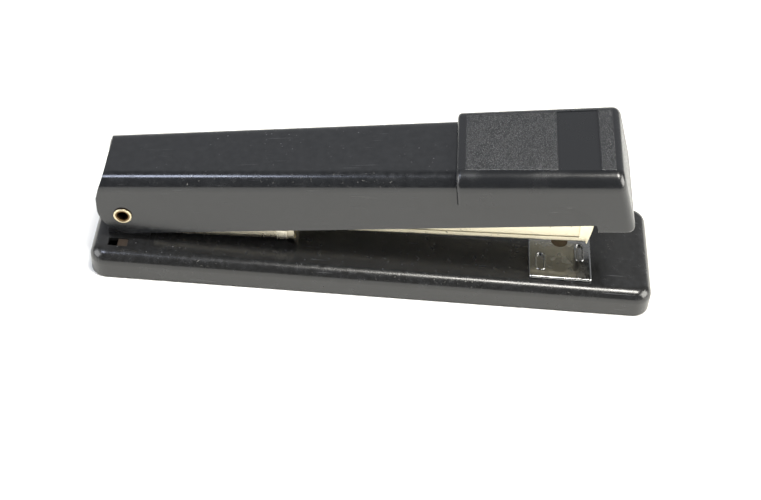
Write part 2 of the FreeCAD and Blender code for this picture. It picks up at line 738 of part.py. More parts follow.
cheek_back = "-cheek_radius + cheek_x"
cover = Piece("cover", HANDLE_FRAME)


def low_edge(x):
    return f"-cover_low + cover_rise * ({x})"


cover.prism(
    "XZ", "-base_width", "base_width",
    [[("cheek_x", low_edge("cheek_x")), ("cover_front", low_edge("cover_front")),
      ("cover_front", "cover_high"), (cheek_back, "cover_high"), (cheek_back, "cheek_z"),
      ("cheek_x", "cheek_z")]],
)
cover.discs("XZ", "-base_width", "base_width", [("cheek_x", "cheek_z", "cheek_radius")])


def beside(margin, x):
    """Half width of the cover's outside at x, plus a margin."""
    return f"cover_half + cover_spread * ({x}) + ({margin})"


def outside(side, margin):
    """The waste beside the cover's tapered flank, in plan."""
    return [
        ("-50", f"{side} * ({beside(margin, '-50')})"), ("250", f"{side} * ({beside(margin, '250')})"),
        ("250", f"{side} * 100"), ("-50", f"{side} * 100"),
    ]


cover.prism("XY", "-50", "50", [outside("-1", "0"), outside("1", "0")], cut=True)
cover_top = value("cover_high")
cover.prism(
    "XY", "-100", "cover_high - cover_sheet",
    [[("-50", f"-({beside('-cover_sheet', '-50')})"), ("250", f"-({beside('-cover_sheet', '250')})"),
      ("250", beside("-cover_sheet", "250")), ("-50", beside("-cover_sheet", "-50"))]],
    cut=True,
)
cover.fillet(
    "cover_edge_radius - cover_sheet",
    lambda e: runs_along(e, X) and flat_at(e, Z, cover_top - value("cover_sheet")),
)
cover.fillet("cover_edge_radius", lambda e: runs_along(e, X) and flat_at(e, Z, cover_top))
cover.prism(
    "XZ", "-base_width", "base_width",
    [[("-2 * cheek_radius", "cover_high * 2"), ("-cheek_top_x", "cover_high * 2"),
      ("-cheek_top_x", "cover_high"), ("-cheek_up_x", "cheek_up_z"),
      ("-cheek_mid_x", "cheek_mid_z"), (cheek_back, "cheek_z"), ("-2 * cheek_radius", "cheek_z")]],
    cut=True,
)
cover.discs("XZ", "-base_width", "base_width", [("0", "0", "pin_radius + running_gap")], cut=True)
cover.discs(
    "XY", "0", "cover_high * 2",
    [("post_x", "post_y", "post_radius + post_gap"), ("post_x", "-post_y", "post_radius + post_gap"),
     ("driver_rivet_rear", "0", "driver_rivet_radius"), ("driver_rivet_front", "0", "driver_rivet_radius")],
    cut=True,
)

cap = Piece("head_cap", HANDLE_FRAME)
cap.prism(
    "XZ", "-base_width", "base_width",
    [[("cap_back", "-cap_low"), ("cap_front_low", "-cap_low"), ("cap_front_top", "cap_top"),
      ("cap_back", "cap_top")]],
)
cap.prism("XY", "-50", "50", [outside("-1", "cap_side"), outside("1", "cap_side")], cut=True)
cap_top = value("cap_top")
cap_back = value("cap_back")
cap_floor = -value("cap_low")
cap.fillet("cap_edge_radius", lambda e: runs_along(e, X) and flat_at(e, Z, cap_top))
cap.fillet(
    "cap_front_radius",
    lambda e: e.BoundBox.XMin > cap_back + 40 and not flat_at(e, Z, cap_floor),
)
cap.fillet("cap_rim_radius", lambda e: flat_at(e, X, cap_back) and not flat_at(e, Z, cap_floor))
cap.fillet(
    "cap_chin_radius",
    lambda e: flat_at(e, Z, cap_floor) and e.BoundBox.YLength > 20 and e.BoundBox.XMin > 150,
)
cap.prism(
    "XZ", "-base_width", "base_width",
    [[("cap_back - 10", "-50"), ("cap_throat_x", "-50"), ("cap_throat_x", "cap_skirt_front"),
      ("cap_back - 10", "cap_skirt_back")]],
    cut=True,
)
cap.discs("XZ", "-base_width", "base_width",
          [("cap_throat_x", "-cap_throat_z", "cap_skirt_front + cap_throat_z")], cut=True)
cap.prism(
    "XY", "-100", "cover_high",
    [[("-50", f"-({beside('0', '-50')})"), ("cover_front + touch_gap", f"-({beside('0', 'cover_front')})"),
      ("cover_front + touch_gap", beside("0", "cover_front")), ("-50", beside("0", "-50"))]],
    cut=True,
)
chamber = "cover_half + cover_spread * cap_front_top - cap_wall + cap_side"
cap.prism(
    "XZ", f"-({chamber})", chamber,
    [[("cap_throat_x", "-100"), ("cap_front_low - cap_wall + 16", "-100"),
      ("cap_front_low - cap_wall", "-cap_low"), ("cap_front_top - cap_wall", "cap_chamber_high"),
      ("cap_throat_x", "cap_chamber_high")]],
    cut=True,
)
cap.discs("XY", "post_low", "cover_high + cap_side / 2",
          [("post_x", "post_y", "post_radius"), ("post_x", "-post_y", "post_radius")])
cap.discs(
    "XY", "0", "cover_high + driver_head + driver_head_gap",
    [("driver_rivet_rear", "0", "driver_head_radius + driver_head_gap"),
     ("driver_rivet_front", "0", "driver_head_radius + driver_head_gap")],
    cut=True,
)
cap.prism(
    "XY", "cap_top - band_depth", "cap_top * 2",
    [[("band_back", "-cover_half - cover_spread * band_back - cap_side + band_inset"),
      ("band_front", "-cover_half - cover_spread * band_front - cap_side + band_inset"),
      ("band_front", "cover_half + cover_spread * band_front + cap_side - band_inset"),
      ("band_back", "cover_half + cover_spread * band_back + cap_side - band_inset")]],
    cut=True,
)

under_cover = "cover_high - cover_sheet"
for label, side in (("cap_clip_near", "-"), ("cap_clip_far", "")):
    clip = Piece(label, HANDLE_FRAME)
    clip.tube("XY", f"{under_cover} - clip_sheet", under_cover,
              "post_x", f"{side}post_y", "clip_radius", "post_radius")

strap = Piece("driver_strap", HANDLE_FRAME)
under_strap = f"{under_cover} - strap_sheet"
blade_top = f"{under_strap} - blade_sheet"
strap.prism("XZ", "-strap_half", "strap_half",
            [rectangle("strap_back", under_strap, "blade_x", under_cover)])
driver_holes = [("driver_rivet_rear", "0", "driver_rivet_radius"),
                ("driver_rivet_front", "0", "driver_rivet_radius")]
strap.discs("XY", "0", "cover_high * 2", driver_holes, cut=True)

# the blade stands square to the magazine when the handle is fully down
lean = "(handle_tilt - magazine_tilt - drive_stroke)"
tip_z = "(-magazine_low + blade_lift)"
tip_x = f"blade_x * cos({lean}) + {tip_z} * sin({lean})"
tip_up = f"-blade_x * sin({lean}) + {tip_z} * cos({lean})"
head_x = f"{tip_x} + ({under_strap} - ({tip_up})) * tan({lean})"
blade = Piece("driver_blade", HANDLE_FRAME)
blade.prism(
    "XZ", "-blade_half", "blade_half",
    [[("blade_foot_back", under_strap), (f"{head_x} + blade_sheet / 2", under_strap),
      (f"{tip_x} + blade_sheet / 2", tip_up), (f"{tip_x} - blade_sheet / 2", tip_up),
      (f"{head_x} - blade_sheet / 2", blade_top), ("blade_foot_back", blade_top)]],
)
blade.discs("XY", "0", "cover_high * 2", driver_holes[1:], cut=True)

for label, x, grip in (
    ("driver_rivet_rear", "driver_rivet_rear", under_strap),
    ("driver_rivet_front", "driver_rivet_front", blade_top),
):
    rivet = Piece(label, HANDLE_FRAME)
    rivet.discs("XY", grip, "cover_high", [(x, "0", "driver_rivet_radius")])
    rivet.discs("XY", "cover_high", "cover_high + driver_head", [(x, "0", "driver_head_radius")])
    rivet.discs("XY", f"{grip} - driver_head", grip, [(x, "0", "driver_head_radius")])

spring = Piece("handle_spring", HANDLE_FRAME)
gape = "(handle_tilt - magazine_tilt)"
touch = f"(magazine_high / cos({gape}) - return_touch * tan({gape}) + touch_gap)"
spring.prism(
    "XZ", "-return_half", "return_half",
    [[("return_back", under_cover), ("return_back", f"{under_cover} - return_sheet"),
      ("return_bend - return_sheet / 4", f"{under_cover} - return_sheet"), ("return_touch", touch),
      ("return_toe", f"{touch} + return_toe_rise"),
      ("return_toe", f"{touch} + return_toe_rise + return_sheet"),
      ("return_touch", f"{touch} + return_sheet"), ("return_bend", under_cover)]],
)

# ---------------------------------------------------------------- check and write

doc.recompute()
faults = [
    f"{obj.Label}: {state}"
    for obj in doc.Objects
    for state in obj.State
    if state in ("Invalid", "Error")
]
pieces = [obj for obj in doc.Objects if obj.TypeId == "PartDesign::Body"]
for piece in pieces:
    shape = piece.Shape
    if shape.isNull() or not shape.isValid() or not shape.Solids:
        faults.append(f"{piece.Label}: no valid solid")
    elif len(shape.Solids) != 1:
        faults.append(f"{piece.Label}: {len(shape.Solids)} solids")
if faults:
    raise RuntimeError("; ".join(faults))

os.makedirs("parts", exist_ok=True)
for piece in pieces:
    piece.Shape.exportStep(f"parts/{piece.Label}.step")
    print(piece.Label, round(piece.Shape.Volume, 1))
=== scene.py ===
"""Desk stapler: finishes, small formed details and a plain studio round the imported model."""

import logging
import math
from dataclasses import dataclass, field
from enum import Enum
from typing import Any

import bpy
from mathutils import Matrix, Vector


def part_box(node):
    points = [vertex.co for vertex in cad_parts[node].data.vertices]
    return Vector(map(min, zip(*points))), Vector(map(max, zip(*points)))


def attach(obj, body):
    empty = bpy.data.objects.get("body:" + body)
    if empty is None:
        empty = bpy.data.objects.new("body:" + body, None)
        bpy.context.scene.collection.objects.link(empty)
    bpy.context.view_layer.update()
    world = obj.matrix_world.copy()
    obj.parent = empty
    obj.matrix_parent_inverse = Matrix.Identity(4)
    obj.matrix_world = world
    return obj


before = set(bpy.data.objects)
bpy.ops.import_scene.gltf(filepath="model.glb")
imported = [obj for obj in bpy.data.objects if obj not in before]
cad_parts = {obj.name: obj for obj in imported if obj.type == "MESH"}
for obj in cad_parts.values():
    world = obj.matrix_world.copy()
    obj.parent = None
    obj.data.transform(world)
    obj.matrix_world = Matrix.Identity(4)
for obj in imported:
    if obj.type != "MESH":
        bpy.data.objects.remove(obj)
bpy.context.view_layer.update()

LOG = logging.getLogger("stapler")
MM = 0.001


class Axes(Enum):
    """Which frame a pattern is laid out in: the desk's, the magazine's or the handle's."""

    DESK = 0.0
    MAGAZINE = 2.1
    HANDLE = 7.2


PIN = Vector((-88.8, 0.0, 22.3))


def linear(hex_colour: str) -> tuple[float, float, float, float]:
    """Turn an sRGB hex colour into the linear colour a shader takes.

    Args:
        hex_colour: six hex digits after a hash, such as "#1a1b1c".

    Returns:
        Red, green, blue and alpha, linear.
    """
    parts = [int(hex_colour[n : n + 2], 16) / 255 for n in (1, 3, 5)]
    low = [c / 12.92 if c <= 0.04045 else ((c + 0.055) / 1.055) ** 2.4 for c in parts]
    return (low[0], low[1], low[2], 1.0)


def add_node(tree: bpy.types.NodeTree, kind: str, inputs: dict[Any, Any], **settings: Any) -> Any:
    """Add one node, set its properties, and fill or link its inputs.

    Args:
        tree: the material's node tree.
        kind: the node's type name, without "ShaderNode".
        inputs: input name or number to a value or to an output socket.
        **settings: properties of the node itself.

    Returns:
        The new node.
    """
    node = tree.nodes.new("ShaderNode" + kind)
    for name, value in settings.items():
        setattr(node, name, value)
    for key, value in inputs.items():
        if isinstance(value, bpy.types.NodeSocket):
            tree.links.new(value, node.inputs[key])
        else:
            node.inputs[key].default_value = value
    return node


@dataclass(frozen=True)
class Finish:
    """A surface: its name, base shader values and the frame its pattern is laid out in."""

    name: str
    colour: str
    metallic: float
    roughness: float
    axes: Axes = Axes.DESK
    ior: float = 1.5

    def start(self) -> tuple[bpy.types.Material, Any, Any, Any]:
        """Make the material, its shader and coordinates in millimetres in the finish's frame.

        Returns:
            The material, its tree, its shader node and the coordinate socket.
        """
        material = bpy.data.materials.new(self.name)
        material.use_nodes = True
        tree = material.node_tree
        shader = tree.nodes["Principled BSDF"]
        shader.inputs["Base Color"].default_value = linear(self.colour)
        shader.inputs["Metallic"].default_value = self.metallic
        shader.inputs["Roughness"].default_value = self.roughness
        if not self.metallic:
            shader.inputs["IOR"].default_value = self.ior
        where = add_node(tree, "TexCoord", {})
        tilt = math.radians(self.axes.value)
        turn = Matrix.Rotation(tilt, 3, "Y")
        shift = Vector() if self.axes is Axes.DESK else -(turn @ PIN)
        mapping = add_node(
            tree,
            "Mapping",
            {
                "Vector": where.outputs["Object"],
                "Scale": (1 / MM,) * 3,
                "Rotation": (0.0, tilt, 0.0),
                "Location": shift,
            },
            vector_type="POINT",
        )
        return material, tree, shader, mapping.outputs[0]

    def build(self) -> bpy.types.Material:
        """Make the material; each kind of surface does this its own way."""
        raise NotImplementedError


@dataclass(frozen=True)
class Enamel(Finish):
    """Stoved black enamel on pressed steel: deep gloss, orange peel, dust and rubbed edges.

    The patterns are laid out in millimetres. edge_y and edge_z say where the rounded edges run, and
    edge_spread how the edge moves out along the length. Below the height and beyond the half-width
    that the last two fields give there is dull brown metal in place of paint, made darker as painted
    shade of the slots it stands in.
    """

    worn: str = "#8b8a86"
    dust: str = "#6f7073"
    edge_y: float = 20.0
    edge_spread: float = 0.0
    edge_z: float = 8.2
    wear: float = 0.5
    mottle: float = 0.3
    peel: float = 0.1
    bare_and_shade_below: float = -99.0
    bare_and_shade_beyond: float = 14.0

    def build(self) -> bpy.types.Material:
        """Make the enamel, with rubbed paint along the rounded edges and fine dust on top.

        Returns:
            The finished material.
        """
        material, tree, shader, place = self.start()
        xyz = add_node(tree, "SeparateXYZ", {0: place})
        side = add_node(tree, "Math", {0: xyz.outputs["Y"]}, operation="ABSOLUTE")
        line = add_node(
            tree, "Math", {0: xyz.outputs["X"], 1: self.edge_spread, 2: self.edge_y},
            operation="MULTIPLY_ADD",
        )
        past = add_node(tree, "Math", {0: side.outputs[0], 1: line.outputs[0]}, operation="SUBTRACT")
        near_edge = add_node(
            tree, "MapRange", {"Value": past.outputs[0], "From Min": -0.6, "From Max": 1.2}
        )
        high = add_node(
            tree, "MapRange",
            {"Value": xyz.outputs["Z"], "From Min": self.edge_z - 0.6, "From Max": self.edge_z + 0.6},
        )
        edge = add_node(
            tree, "Math", {0: near_edge.outputs[0], 1: high.outputs[0]}, operation="MULTIPLY"
        )
        # chips and rub marks about 1 mm across, which break up the light along the edges
        chips = add_node(
            tree, "TexNoise", {"Vector": place, "Scale": 0.85, "Detail": 5.0, "Roughness": 0.62}
        )
        chip_cut = add_node(
            tree, "MapRange",
            {"Value": chips.outputs[0], "From Min": 0.68 - 0.08 * self.wear, "From Max": 0.78},
        )
        stretches = add_node(tree, "TexNoise", {"Vector": place, "Scale": 0.035, "Detail": 2.0})
        stretch = add_node(
            tree, "MapRange",
            {"Value": stretches.outputs[0], "From Min": 0.5, "From Max": 0.62, "To Min": 0.08},
        )
        local = add_node(tree, "Math", {0: edge.outputs[0], 1: stretch.outputs[0]}, operation="MULTIPLY")
        chip = add_node(tree, "Math", {0: chip_cut.outputs[0], 1: local.outputs[0]}, operation="MULTIPLY")
        # hairline scratches drawn out along the length, which show that the paint is used
        drawn = add_node(
            tree, "Mapping", {"Vector": place, "Scale": (0.05, 1.7, 1.7), "Rotation": (0, 0, 0.3)}
        )
        hairs = add_node(
            tree, "TexNoise", {"Vector": drawn.outputs[0], "Scale": 1.0, "Detail": 3.0}
        )
        hair = add_node(
            tree, "MapRange",
            {"Value": hairs.outputs[0], "From Min": 0.69, "From Max": 0.76, "To Max": 0.25},
        )
        # dust specks of 0.3 to 0.5 mm, drawn a little coarser than the real ones so that they show
        specks = add_node(tree, "TexVoronoi", {"Vector": place, "Scale": 0.42, "Randomness": 1.0})
        speck = add_node(
            tree, "MapRange",
            {"Value": specks.outputs["Distance"], "From Min": 0.15, "From Max": 0.05, "To Max": 0.4},
        )
        patches = add_node(tree, "TexNoise", {"Vector": place, "Scale": 0.06, "Detail": 4.0})
        patch = add_node(
            tree, "MapRange", {"Value": patches.outputs[0], "From Min": 0.45, "From Max": 0.7}
        )
        facing = add_node(tree, "TexCoord", {})
        up = add_node(tree, "SeparateXYZ", {0: facing.outputs["Normal"]})
        lying = add_node(
            tree, "MapRange", {"Value": up.outputs["Z"], "From Min": 0.55, "From Max": 0.95}
        )
        dusty = add_node(tree, "Math", {0: speck.outputs[0], 1: patch.outputs[0]}, operation="MULTIPLY")
        settled = add_node(
            tree, "Math", {0: dusty.outputs[0], 1: lying.outputs[0]}, operation="MULTIPLY"
        )
        marks = add_node(tree, "Math", {0: settled.outputs[0], 1: hair.outputs[0]}, operation="MAXIMUM")
        # mottling of the sprayed coat in patches of 2 to 4 mm, so that no face is one flat black
        cloud = add_node(tree, "TexNoise", {"Vector": place, "Scale": 0.45, "Detail": 4.0})
        cloudy = add_node(
            tree, "MapRange",
            {"Value": cloud.outputs[0], "From Min": 0.35, "From Max": 0.7, "To Max": self.mottle},
        )
        coat = add_node(
            tree, "Mix",
            {"Factor": cloudy.outputs[0], "A": linear(self.colour), "B": linear("#2c2d2f")},
            data_type="RGBA",
        )
        dusted = add_node(
            tree, "Mix",
            {"Factor": marks.outputs[0], "A": coat.outputs["Result"], "B": linear(self.dust)},
            data_type="RGBA",
        )
        rubbed = add_node(
            tree, "Mix",
            {"Factor": chip.outputs[0], "A": dusted.outputs["Result"], "B": linear(self.worn)},
            data_type="RGBA",
        )
        # dull brown metal on the parts of the yoke that stand in the base's slots, made darker as painted
        # shade of the slots
        low_down = add_node(
            tree, "MapRange",
            {"Value": xyz.outputs["Z"], "From Min": self.bare_and_shade_below + 0.2, "From Max": self.bare_and_shade_below},
        )
        out_wide = add_node(
            tree, "MapRange",
            {"Value": side.outputs[0], "From Min": self.bare_and_shade_beyond, "From Max": self.bare_and_shade_beyond + 0.2},
        )
        bare_and_shade = add_node(
            tree, "Math", {0: low_down.outputs[0], 1: out_wide.outputs[0]}, operation="MULTIPLY"
        )
        stripped_and_shaded = add_node(
            tree, "Mix",
            {"Factor": bare_and_shade.outputs[0], "A": rubbed.outputs["Result"], "B": linear("#2d2620")},
            data_type="RGBA",
        )
        # gloss that wavers with the mottling and goes dull under dust and scratches
        gloss = add_node(
            tree, "MapRange",
            {
                "Value": cloud.outputs[0], "From Min": 0.3, "From Max": 0.7,
                "To Min": self.roughness, "To Max": self.roughness + 0.08,
            },
        )
        dull = add_node(
            tree, "Math", {0: marks.outputs[0], 1: 0.35, 2: gloss.outputs[0]}, operation="MULTIPLY_ADD"
        )
        # orange peel about 1 mm across, which softens the edges of highlights
        peel = add_node(tree, "TexNoise", {"Vector": place, "Scale": 0.9, "Detail": 2.0})
        bump = add_node(
            tree, "Bump", {"Height": peel.outputs[0], "Strength": self.peel, "Distance": 0.06 * MM}
        )
        links = {
            "Base Color": stripped_and_shaded.outputs["Result"],
            "Roughness": dull.outputs[0],
            "Normal": bump.outputs[0],
        }
        for name, socket in links.items():
            tree.links.new(socket, shader.inputs[name])
        return material


@dataclass(frozen=True)
class PebbledCap(Finish):
    """Injection-moulded ABS: glossy borders round a fine spark-eroded grain on the top.

    half, spread and border give the grained area's edges in millimetres, and fields its two
    stretches along the length, with the smooth band between them.
    """

    half: float = 16.3
    spread: float = 0.0275
    border: float = 5.3
    fields: tuple[tuple[float, float], ...] = ((121.4, 153.0), (167.2, 172.4))

    def build(self) -> bpy.types.Material:
        """Make the plastic, with the grain only inside the borders of the top face and on the nose.

        Returns:
            The finished material.
        """
        material, tree, shader, place = self.start()
        xyz = add_node(tree, "SeparateXYZ", {0: place})
        side = add_node(tree, "Math", {0: xyz.outputs["Y"]}, operation="ABSOLUTE")
        line = add_node(
            tree, "Math", {0: xyz.outputs["X"], 1: self.spread, 2: self.half - self.border},
            operation="MULTIPLY_ADD",
        )
        past = add_node(tree, "Math", {0: line.outputs[0], 1: side.outputs[0]}, operation="SUBTRACT")
        inside = add_node(
            tree, "MapRange", {"Value": past.outputs[0], "From Min": 0.0, "From Max": 0.35}
        )
        above = add_node(
            tree, "MapRange", {"Value": xyz.outputs["Z"], "From Min": 18.0, "From Max": 18.3}
        )
        top = add_node(tree, "Math", {0: inside.outputs[0], 1: above.outputs[0]}, operation="MULTIPLY")
        strips = []
        for start, end in self.fields:
            rise = add_node(
                tree, "MapRange",
                {"Value": xyz.outputs["X"], "From Min": start, "From Max": start + 0.35},
            )
            fall = add_node(
                tree, "MapRange", {"Value": xyz.outputs["X"], "From Min": end, "From Max": end - 0.35}
            )
            strips.append(
                add_node(tree, "Math", {0: rise.outputs[0], 1: fall.outputs[0]}, operation="MULTIPLY")
            )
        along = add_node(
            tree, "Math", {0: strips[0].outputs[0], 1: strips[1].outputs[0]}, operation="MAXIMUM"
        )
        field_mask = add_node(
            tree, "Math", {0: top.outputs[0], 1: along.outputs[0]}, operation="MULTIPLY"
        )
        # the nose face is grained all over
        ahead = add_node(tree, "TexCoord", {})
        outward = add_node(tree, "SeparateXYZ", {0: ahead.outputs["Normal"]})
        nose = add_node(
            tree, "MapRange", {"Value": outward.outputs["X"], "From Min": 0.9, "From Max": 0.95}
        )
        grain = add_node(
            tree, "Math", {0: field_mask.outputs[0], 1: nose.outputs[0]}, operation="MAXIMUM"
        )
        # pebbles about 0.5 mm across
        pebbles = add_node(tree, "TexVoronoi", {"Vector": place, "Scale": 2.0}, feature="F1")
        pits = add_node(tree, "TexNoise", {"Vector": place, "Scale": 3.2, "Detail": 2.0})
        mixed = add_node(
            tree, "Math", {0: pits.outputs[0], 1: 0.8, 2: pebbles.outputs["Distance"]},
            operation="MULTIPLY_ADD",
        )
        height = add_node(
            tree, "Math", {0: mixed.outputs[0], 1: grain.outputs[0]}, operation="MULTIPLY"
        )
        faint = add_node(tree, "TexNoise", {"Vector": place, "Scale": 1.1, "Detail": 1.0})
        total = add_node(
            tree, "Math", {0: faint.outputs[0], 1: 0.06, 2: height.outputs[0]}, operation="MULTIPLY_ADD"
        )
        bump = add_node(
            tree, "Bump", {"Height": total.outputs[0], "Strength": 0.7, "Distance": 0.3 * MM}
        )
        rough = add_node(
            tree, "MapRange",
            {"Value": grain.outputs[0], "To Min": self.roughness, "To Max": self.roughness + 0.12},
        )
        # finger marks about 10 mm across, a little duller than the plastic round them
        smudge = add_node(tree, "TexNoise", {"Vector": place, "Scale": 0.09, "Detail": 5.0})
        hazy = add_node(
            tree, "MapRange",
            {"Value": smudge.outputs[0], "From Min": 0.45, "From Max": 0.75, "To Max": 0.16},
        )
        roughened = add_node(
            tree, "Math", {0: rough.outputs[0], 1: hazy.outputs[0]}, operation="ADD"
        )
        # dust caught between the pebbles greys the grain; the same grey is also a painted sheen
        # standing in for light that the grain scatters
        dust_and_sheen = add_node(
            tree, "MapRange",
            {"Value": mixed.outputs[0], "From Min": 0.9, "From Max": 0.45, "To Max": 0.48},
        )
        grey = add_node(tree, "Math", {0: dust_and_sheen.outputs[0], 1: grain.outputs[0]}, operation="MULTIPLY")
        colour = add_node(
            tree, "Mix",
            {"Factor": grey.outputs[0], "A": linear(self.colour), "B": linear("#747576")},
            data_type="RGBA",
        )
        links = {
            "Base Color": colour.outputs["Result"],
            "Roughness": roughened.outputs[0],
            "Normal": bump.outputs[0],
        }
        for name, socket in links.items():
            tree.links.new(socket, shader.inputs[name])
        return material


@dataclass(frozen=True)
class Plated(Finish):
    """Nickel or chrome plate on stamped steel: drawing lines, haze and small rust spots."""

    stain: str = "#6a5d48"
    stain_share: float = 0.2
    brush: float = 0.3
    haze: float = 0.1

    def build(self) -> bpy.types.Material:
        """Make the plate, with lines along its length and spots where it has worn through.

        Returns:
            The finished material.
        """
        material, tree, shader, place = self.start()
        # rolling lines along the length, haze in patches of 6 mm, and spots of 1 to 2 mm
        drawn = add_node(tree, "Mapping", {"Vector": place, "Scale": (0.04, 2.4, 2.4)})
        lines = add_node(tree, "TexNoise", {"Vector": drawn.outputs[0], "Scale": 1.5, "Detail": 4.0})
        cloud = add_node(tree, "TexNoise", {"Vector": place, "Scale": 0.16, "Detail": 5.0})
        spots = add_node(
            tree, "TexNoise", {"Vector": place, "Scale": 0.55, "Detail": 4.0, "Roughness": 0.6}
        )
        spot = add_node(
            tree, "MapRange",
            {"Value": spots.outputs[0], "From Min": 0.7 - 0.12 * self.stain_share, "From Max": 0.76},
        )
        haze = add_node(
            tree, "MapRange",
            {
                "Value": cloud.outputs[0], "From Min": 0.35, "From Max": 0.7,
                "To Min": self.roughness, "To Max": self.roughness + self.haze,
            },
        )
        rough = add_node(
            tree, "Math", {0: spot.outputs[0], 1: 0.3, 2: haze.outputs[0]}, operation="MULTIPLY_ADD"
        )
        colour = add_node(
            tree, "Mix",
            {"Factor": spot.outputs[0], "A": linear(self.colour), "B": linear(self.stain)},
            data_type="RGBA",
        )
        bump = add_node(
            tree, "Bump", {"Height": lines.outputs[0], "Strength": self.brush, "Distance": 0.02 * MM}
        )
        links = {
            "Base Color": colour.outputs["Result"],
            "Roughness": rough.outputs[0],
            "Normal": bump.outputs[0],
        }
        for name, socket in links.items():
            tree.links.new(socket, shader.inputs[name])
        return material


@dataclass(frozen=True)
class Rubber(Finish):
    """Moulded nitrile rubber: dull, with a fine non-slip hatch pressed into it."""

    def build(self) -> bpy.types.Material:
        """Make the rubber, with ribs across it, pressed in along the whole base.

        Returns:
            The finished material.
        """
        material, tree, shader, place = self.start()
        # ribs that catch the light as fine stripes, and crumbs that keep it from looking smooth
        ribs = add_node(
            tree, "TexWave", {"Vector": place, "Scale": 0.16, "Distortion": 0.0},
            bands_direction="X",
        )
        crumbs = add_node(tree, "TexNoise", {"Vector": place, "Scale": 1.6, "Detail": 3.0})
        height = add_node(
            tree, "Math", {0: crumbs.outputs[0], 1: 0.3, 2: ribs.outputs["Fac"]},
            operation="MULTIPLY_ADD",
        )
        bump = add_node(
            tree, "Bump", {"Height": height.outputs[0], "Strength": 0.6, "Distance": 0.2 * MM}
        )
        colour = add_node(
            tree, "Mix",
            {"Factor": crumbs.outputs[0], "A": linear(self.colour), "B": linear("#353535")},
            data_type="RGBA",
        )
        tree.links.new(colour.outputs["Result"], shader.inputs["Base Color"])
        tree.links.new(bump.outputs[0], shader.inputs["Normal"])
        return material


def dress(material: bpy.types.Material, *nodes: str) -> None:
    """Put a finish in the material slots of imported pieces.

    Args:
        material: the finish.
        *nodes: the pieces' names.
    """
    for name in nodes:
        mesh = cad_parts[name].data
        mesh.materials.clear()
        mesh.materials.append(material)
        LOG.info("%s wears %s", name, material.name)


def drop(piece: bpy.types.Object, name: str, material: bpy.types.Material, body: str) -> None:
    """Finish a new piece: apply its place, name it, dress it and let it ride on a body.

    Args:
        piece: the new piece, just modelled.
        name: what it is called.
        material: its finish.
        body: the body it rides on.
    """
    bpy.ops.object.select_all(action="DESELECT")
    piece.select_set(True)
    bpy.context.view_layer.objects.active = piece
    bpy.ops.object.transform_apply(location=True, rotation=True, scale=True)
    bpy.ops.object.shade_smooth_by_angle(angle=math.radians(40))
    piece.name = piece.data.name = name
    piece.data.materials.clear()
    piece.data.materials.append(material)
    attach(piece, body)
    LOG.info("%s rides on %s", name, body)


def repeat(piece: bpy.types.Object, name: str, shift: Vector, body: str) -> None:
    """Copy a finished piece with a mesh of its own, moved along and riding on the same body.

    Args:
        piece: the piece to copy.
        name: the copy's name.
        shift: how far the copy is moved, in metres.
        body: the body it rides on.
    """
    twin = bpy.data.objects.new(name, piece.data.copy())
    twin.data.name = name
    twin.data.transform(Matrix.Translation(shift))
    bpy.context.scene.collection.objects.link(twin)
    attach(twin, body)
    LOG.info("%s rides on %s", name, body)


@dataclass
class Base:
    """The pressed base, its rubber pad, the yoke and the hollow hinge rivet."""

    lip_radius: float = 2.86
    lip_wire: float = 0.4
    lip_inset: float = 0.2
    # a deep black with one long bright line along its rounded edge, rubbed grey in places
    enamel: Enamel = Enamel(
        "stoved_enamel_base", "#191919", 0.0, 0.2, edge_y=20.6, edge_z=8.2, wear=0.7, mottle=0.38, peel=0.03
    )
    # a duller black, and dark brown metal where it stands in the base's slots: unpainted metal with
    # painted shade of the slots
    yoke_enamel: Enamel = Enamel(
        "dipped_enamel_yoke", "#1c1c1d", 0.0, 0.35, edge_y=50.0, wear=0.0, bare_and_shade_below=10.9
    )
    rubber: Rubber = Rubber("moulded_nitrile_rubber", "#222222", 0.0, 0.75)
    # a pale cream ring round a brown hollow
    nickel: Plated = Plated("nickelled_rivet_lip", "#c8bda0", 1.0, 0.3, stain="#8a7a5a", brush=0.1)
    bronze: Plated = Plated("browned_rivet_bore", "#6b563c", 1.0, 0.4, stain="#3d3023", stain_share=0.8)
    steel: Plated = Plated("bare_steel_base", "#8f8a80", 1.0, 0.35, stain_share=0.6)
    spring: Plated = Plated("spring_wire_base", "#7d7b77", 1.0, 0.3)

    def build(self) -> None:
        """Dress the base's pieces and roll the two lips of the hinge rivet."""
        dress(self.enamel.build(), "base_shell")
        dress(self.rubber.build(), "base_pad")
        dress(self.yoke_enamel.build(), "hinge_yoke")
        dress(self.steel.build(), "yoke_rivet_near", "yoke_rivet_far")
        dress(self.spring.build(), "anvil_spring")
        dress(self.bronze.build(), "pivot_rivet")
        low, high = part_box("pivot_rivet")
        near = Vector(((low.x + high.x) / 2, low.y, (low.z + high.z) / 2))
        lip = self.roll_lip(near, self.nickel.build())
        across = high.y - low.y - 2 * self.lip_inset * MM
        repeat(lip, "rivet_lip_far", Vector((0, across, 0)), "base")

    def roll_lip(self, centre: Vector, material: bpy.types.Material) -> bpy.types.Object:
        """Model the near rolled lip: a ring flattened towards the cheek it is rolled against.

        Args:
            centre: the middle of the rivet's near face, in metres.
            material: the lip's finish.

        Returns:
            The ring, riding on the base.
        """
        bpy.ops.object.select_all(action="DESELECT")
        bpy.ops.mesh.primitive_torus_add(
            location=centre + Vector((0, self.lip_inset * MM, 0)),
            rotation=(math.pi / 2, 0, 0),
            major_radius=self.lip_radius * MM,
            minor_radius=self.lip_wire * MM,
            major_segments=64,
            minor_segments=20,
        )
        piece = bpy.context.active_object
        bpy.ops.object.mode_set(mode="EDIT")
        bpy.ops.mesh.select_all(action="SELECT")
        bpy.ops.transform.resize(value=(1, 0.7, 1), center_override=centre)
        bpy.ops.object.mode_set(mode="OBJECT")
        drop(piece, "rivet_lip_near", material, "base")
        return piece


